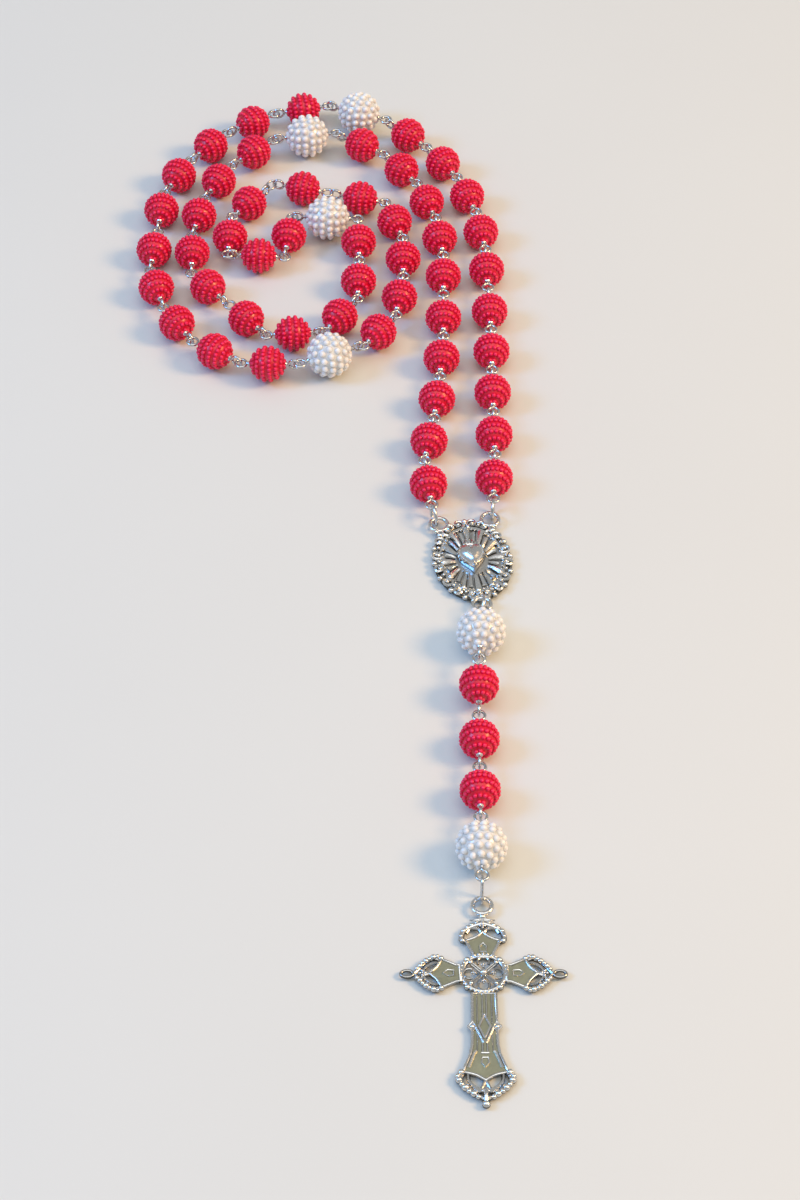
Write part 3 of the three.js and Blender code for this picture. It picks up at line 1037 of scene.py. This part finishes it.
def add_terminal(shape, wide, corner, peak, tip, thick, height):
    """The openwork end of an arm: two holes, a grained border and a floret, along +Y."""
    reach = tip - corner
    borders = ((1, 0), (1.12, 0.2), (0.95, 0.42), (0.62, 0.6), (0.3, 0.72), (0, 0.84))
    border = [(wide * out, corner + reach * share, height) for out, share in borders]
    inner = [
        (wide * 0.8, corner + 0.1, height),
        (wide * 0.75, corner + reach * 0.28, height + 0.1),
        (wide * 0.4, corner + reach * 0.5, height + 0.1),
        (0, corner + reach * 0.56, height),
    ]
    spine = [
        (0, peak - 0.3, height),
        (0.25, peak + 0.5, height + 0.1),
        (wide * 0.28, corner + reach * 0.62, height),
    ]
    grains = (
        (0.0, 1.1, 1.3),
        (0.12, 1.26, 1.0),
        (0.24, 1.2, 1.35),
        (0.37, 1.08, 1.0),
        (0.47, 0.92, 1.35),
        (0.58, 0.76, 1.0),
        (0.66, 0.54, 1.3),
        (0.76, 0.34, 1.0),
    )
    for sign in (-1, 1):
        add_wire(shape, smoothed(on_side(sign, border)), thick * 0.95, 7)
        add_wire(shape, smoothed(on_side(sign, inner)), thick * 0.8, 7, end_radius=thick)
        add_wire(shape, smoothed(on_side(sign, spine)), thick * 0.85, 7)
        for share, out, grain in grains:
            at = (sign * wide * out, corner + reach * share, height + 0.22)
            add_ball(shape, at, thick * grain * 1.25, segments=10, rings=6)
    add_floret(shape, (0, corner + reach * 0.58), thick * 1.35, height + 0.25)


class ROSARY_OT_crucifix(bpy.types.Operator):
    """Make the cast filigree crucifix and its ring"""

    bl_idname = "rosary.crucifix"
    bl_label = "Crucifix"

    def execute(self, context):
        size = context.scene.rosary_cast
        shape = bmesh.new()
        self.add_upper_arm(shape)
        self.add_side_arms(shape)
        self.add_lower_arm(shape)
        self.add_hub(shape)
        self.add_ring(shape, size)
        body = "crucifix"
        side = axis_of(body)
        forward = side.cross(UP).normalized()
        middle = pivot_of(body) + forward * size.cross_reach
        turn = Matrix((side, -forward, UP)).transposed().to_4x4()
        place = Matrix.Translation((middle.x, middle.y, 0)) @ turn
        metals = ["worked_silver", "tarnished_silver"]
        piece = finished(f"{body}.casting", shape, place, metals, body)
        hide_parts(body)
        return {"FINISHED"}

    def add_upper_arm(self, shape):
        """The arm under the ring, with its crest of grains and leaves."""
        add_plate(shape, shield_outline(1.8, 3.1, 3.5, 4.3, 7.1, 9.0), 0, 1.1, 0.3)
        add_pentagon(shape, (0, 5.6), 0.95, 1.2)
        crest = [
            (3.1, 7.1, 0.8),
            (3.9, 7.5, 0.8),
            (3.5, 9.2, 0.85),
            (2.2, 10.2, 0.9),
            (0.9, 10.7, 1.0),
            (0, 11.0, 1.0),
        ]
        inner = [(0.1, 8.9, 0.85), (0.9, 9.8, 0.95), (2.3, 9.9, 0.95), (3.0, 8.9, 0.85)]
        leaf = [(0.1, 11.9, 1.1), (1.1, 11.5, 1.3), (2.3, 11.7, 1.1)]
        grains = (
            (3.7, 7.2, 0.55),
            (3.9, 8.2, 0.45),
            (3.5, 9.3, 0.58),
            (2.8, 10.1, 0.48),
            (2.0, 10.6, 0.55),
            (1.1, 11.1, 0.45),
        )
        for sign in (-1, 1):
            add_wire(shape, smoothed(on_side(sign, crest)), 0.5, 8)
            add_wire(shape, smoothed(on_side(sign, inner)), 0.34, 7)
            for x, y, grain in grains:
                add_ball(shape, (sign * x, y, 0.95), grain, segments=9, rings=6)
            add_wire(shape, smoothed(on_side(sign, leaf)), 0.4, 7, end_radius=0.12)
        add_floret(shape, (0, 10.3), 0.42, 1.35)

    def add_side_arms(self, shape):
        """The two arms that point sideways, each with a small loop at its end."""
        arm = bmesh.new()
        add_plate(arm, shield_outline(1.75, 3.05, 4.2, 4.9, 7.5, 9.8), 0, 1.1, 0.3)
        add_pentagon(arm, (0, 6.3), 0.95, 1.2)
        add_terminal(arm, 2.9, 7.6, 9.8, 13.4, 0.36, 0.85)
        turns = [math.radians(turn) for turn in range(0, 361, 20)]
        loop = [(0.72 * math.sin(t), 13.75 - 1.12 * math.cos(t), 0.85) for t in turns]
        add_wire(arm, loop, 0.32, 8)
        turned_copies(shape, arm, (90, -90))

    def add_lower_arm(self, shape):
        """The long arm with its raised lines, diamond, bosses and openwork foot."""
        arm = bmesh.new()
        hollow = smoothed([(3.95, 20.9, 0), (1.7, 21.5, 0), (0, 22.6, 0)])
        right = [(2.1, 4.4), (2.15, 11.0), (2.25, 15.2), (2.6, 17.2), (3.5, 19.6), (3.95, 20.9)]
        right += [(p.x, p.y) for p in hollow[1:-1]]
        outline = right + [(0, 22.6)] + [(-x, y) for x, y in reversed(right)]
        add_plate(arm, outline, 0, 1.1, 0.3)
        high = 1.14
        lines = (
            (0.17, [(0.36, 4.4), (0.36, 9.4)]),
            (0.15, [(1.3, 4.4), (1.3, 10.9)]),
            (0.3, [(1.85, 11.0), (1.25, 12.4), (0.2, 15.0)]),
            (0.26, [(0, 8.9), (1.05, 11.5), (0, 14.0)]),
            (0.2, [(0.42, 15.1), (0.46, 17.0)]),
            (0.13, [(1.3, 13.2), (1.45, 16.6)]),
            (0.3, [(1.6, 16.6), (2.0, 17.2), (2.95, 20.1)]),
        )
        boss = [(2.1, 10.5), (2.9, 11.5), (2.1, 12.5), (1.6, 11.5), (2.1, 10.5), (2.9, 11.5)]
        for sign in (-1, 1):
            for radius, line in lines:
                add_wire(arm, [(sign * x, y, high) for x, y in line], radius, 7)
            add_wire(arm, [(sign * x, y, 1.15) for x, y in boss], 0.3, 7)
            add_ball(arm, (sign * 2.25, 11.5, 1.05), 0.55, segments=10, rings=7)
        add_wire(arm, [(-0.7, 17.0, high), (0.7, 17.0, high)], 0.22, 7)
        add_pentagon(arm, (0, 18.9), 0.95, high)
        add_terminal(arm, 3.9, 21.0, 22.6, 27.6, 0.42, 0.85)
        petal = [(0, 24.4, 1.0), (1.2, 24.9, 1.2), (2.1, 24.3, 1.0)]
        for sign in (-1, 1):
            add_wire(arm, smoothed(on_side(sign, petal)), 0.42, 7, end_radius=0.18)
        stalk = smoothed([(0, 24.2, 1.1), (0, 25.6, 1.45), (0, 26.9, 1.0)])
        add_wire(arm, stalk, 0.34, 8, end_radius=0.5)
        add_ball(arm, (0, 27.4, 0.85), 0.78, segments=14, rings=10)
        turned_copies(shape, arm, (180,))

    def add_hub(self, shape):
        """The open wheel where the arms meet."""
        height = 0.95
        for start, end in ((50, 130), (140, 220), (230, 310), (320, 400)):
            add_wire(shape, arc((0, 0), 3.85, start, end, 12, height=height), 0.42, 8)
        for turn in (45, 135, 225, 315):
            lean = math.radians(turn)
            out = Vector((math.cos(lean), math.sin(lean), 0))
            side = Vector((-out.y, out.x, 0))
            for sign in (-1, 1):
                shift = side * sign * 0.2 + UP * (height + 0.1)
                add_wire(shape, [out * 0.5 + shift, out * 3.7 + shift], 0.19, 6)
            nub = out * 4.2
            add_ball(shape, (nub.x, nub.y, height), 0.62, segments=10, rings=7)
            ends = out * 3.2
            add_ball(shape, (ends.x, ends.y, height + 0.25), 0.45, segments=9, rings=6)
        for turn in (0, 90, 180, 270):
            lean = math.radians(turn)
            out = Vector((math.cos(lean), math.sin(lean), 0))
            add_floret(shape, (1.75 * out.x, 1.75 * out.y), 0.32, height + 0.2)
            opening = (2.55 * out.x, 2.55 * out.y)
            path = arc(opening, 1.05, turn - 120, turn + 120, 12, height=height)
            add_wire(shape, path, 0.24, 7)
            add_wire(shape, [out * 0.4 + UP * height, out * 1.75 + UP * height], 0.2, 6)
            for k in range(-3, 4):
                rim = math.radians(turn + k * 11)
                grain = (4.15 * math.cos(rim), 4.15 * math.sin(rim), height + 0.1)
                add_ball(shape, grain, 0.34, segments=8, rings=6)
        add_ball(shape, (0, 0, height + 0.35), 0.72, segments=14, rings=10)

    def add_ring(self, shape, size):
        """The ring at the top, with its neck."""
        wire = size.cross_ring_wire / 2 / MM
        radius = (size.cross_ring_outside - size.cross_ring_wire) / 2 / MM
        middle = size.cross_reach / MM - radius
        add_wire(shape, arc((0, middle), radius, 0, 360, 36, height=1.4), wire, 10)
        add_ball(shape, (0, middle - radius - 0.55, 1.15), 0.72, segments=14, rings=10)
        add_wire(shape, [(0, 10.8, 0.9), (0, middle - radius - 0.3, 1.1)], 0.42, 8)


# ---------- stage ----------


def aim(thing, at):
    thing.rotation_euler = (Vector(at) - thing.location).to_track_quat("-Z", "Y").to_euler()


class ROSARY_OT_stage(bpy.types.Operator):
    """Make the floor, the lights and the camera"""

    bl_idname = "rosary.stage"
    bl_label = "Stage"

    def execute(self, context):
        scene = context.scene
        scene.view_settings.view_transform = "Standard"
        ground = bmesh.new()
        bmesh.ops.create_circle(ground, cap_ends=True, segments=64, radius=6)
        mesh = bpy.data.meshes.new("floor")
        ground.to_mesh(mesh)
        ground.free()
        material, nodes, links, shader = new_finish("painted_floor")
        grain = add_grain(nodes, 9, 900, 0.03)
        tone = scene.rosary_finishes.floor
        clouds = grain.outputs["Clouds"]
        colour = blended(nodes, links, clouds, shaded(tone, 0.97), shaded(tone, 1.02))
        links.new(colour.outputs["Result"], shader.inputs["Base Color"])
        links.new(grain.outputs["Normal"], shader.inputs["Normal"])
        shader.inputs["Roughness"].default_value = 0.55
        mesh.materials.append(material)
        floor = bpy.data.objects.new("floor", mesh)
        scene.collection.objects.link(floor)
        world = bpy.data.worlds.new("studio")
        world.use_nodes = True
        world.node_tree.nodes["Background"].inputs["Color"].default_value = (0.98, 1, 1, 1)
        world.node_tree.nodes["Background"].inputs["Strength"].default_value = 0.40
        scene.world = world
        for name, place, size, power, colour in (
            ("cool_window", (-1.0, -0.1, 0.88), 0.42, 8, (0.14, 0.44, 1.0)),
            ("warm_lamp", (0.95, -0.1, 0.85), 0.36, 11, (1.0, 0.62, 0.28)),
            ("front_fill", (0.0, -0.25, 1.6), 1.5, 9.5, (1.0, 1.0, 1.0)),
        ):
            light = bpy.data.lights.new(name, "AREA")
            light.energy = power
            light.size = size
            light.color = colour
            lamp = bpy.data.objects.new(name, light)
            scene.collection.objects.link(lamp)
            lamp.location = place
            aim(lamp, (-0.01, 0.02, 0))
        camera = bpy.data.cameras.new("camera")
        camera.lens = 90
        camera.sensor_width = 36
        camera.clip_start = 0.01
        camera.dof.use_dof = False
        eye = bpy.data.objects.new("camera", camera)
        scene.collection.objects.link(eye)
        eye.location = (-0.0146, -0.4118, 0.4463)
        aim(eye, (-0.0146, -0.0099, 0))
        scene.camera = eye
        return {"FINISHED"}


# ---------- panel and start ----------


class ROSARY_PT_panel(bpy.types.Panel):
    """Lists the rosary's sizes, colours and pieces"""

    bl_idname = "ROSARY_PT_panel"
    bl_label = "Rosary"
    bl_space_type = "VIEW_3D"
    bl_region_type = "UI"
    bl_category = "Rosary"

    def draw(self, context):
        for group in (
            context.scene.rosary_beads,
            context.scene.rosary_cast,
            context.scene.rosary_finishes,
        ):
            for name in group.__annotations__:
                self.layout.prop(group, name)
        for operator in OPERATORS:
            self.layout.operator(operator.bl_idname)


OPERATORS = (
    ROSARY_OT_small_beads,
    ROSARY_OT_large_beads,
    ROSARY_OT_rings,
    ROSARY_OT_closing_link,
    ROSARY_OT_medal,
    ROSARY_OT_crucifix,
    ROSARY_OT_stage,
)
CLASSES = (RosaryBeadSizes, RosaryCastSizes, RosaryFinishes, *OPERATORS, ROSARY_PT_panel)


def register():
    for cls in CLASSES:
        bpy.utils.register_class(cls)
    bpy.types.Scene.rosary_beads = PointerProperty(type=RosaryBeadSizes)
    bpy.types.Scene.rosary_cast = PointerProperty(type=RosaryCastSizes)
    bpy.types.Scene.rosary_finishes = PointerProperty(type=RosaryFinishes)


def unregister():
    del bpy.types.Scene.rosary_finishes
    del bpy.types.Scene.rosary_cast
    del bpy.types.Scene.rosary_beads
    for cls in reversed(CLASSES):
        bpy.utils.unregister_class(cls)


def main():
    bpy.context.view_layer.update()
    register()
    bpy.ops.rosary.small_beads()
    bpy.ops.rosary.large_beads()
    bpy.ops.rosary.rings()
    bpy.ops.rosary.closing_link()
    bpy.ops.rosary.medal()
    bpy.ops.rosary.crucifix()
    bpy.ops.rosary.stage()


if __name__ == "__main__":
    main()
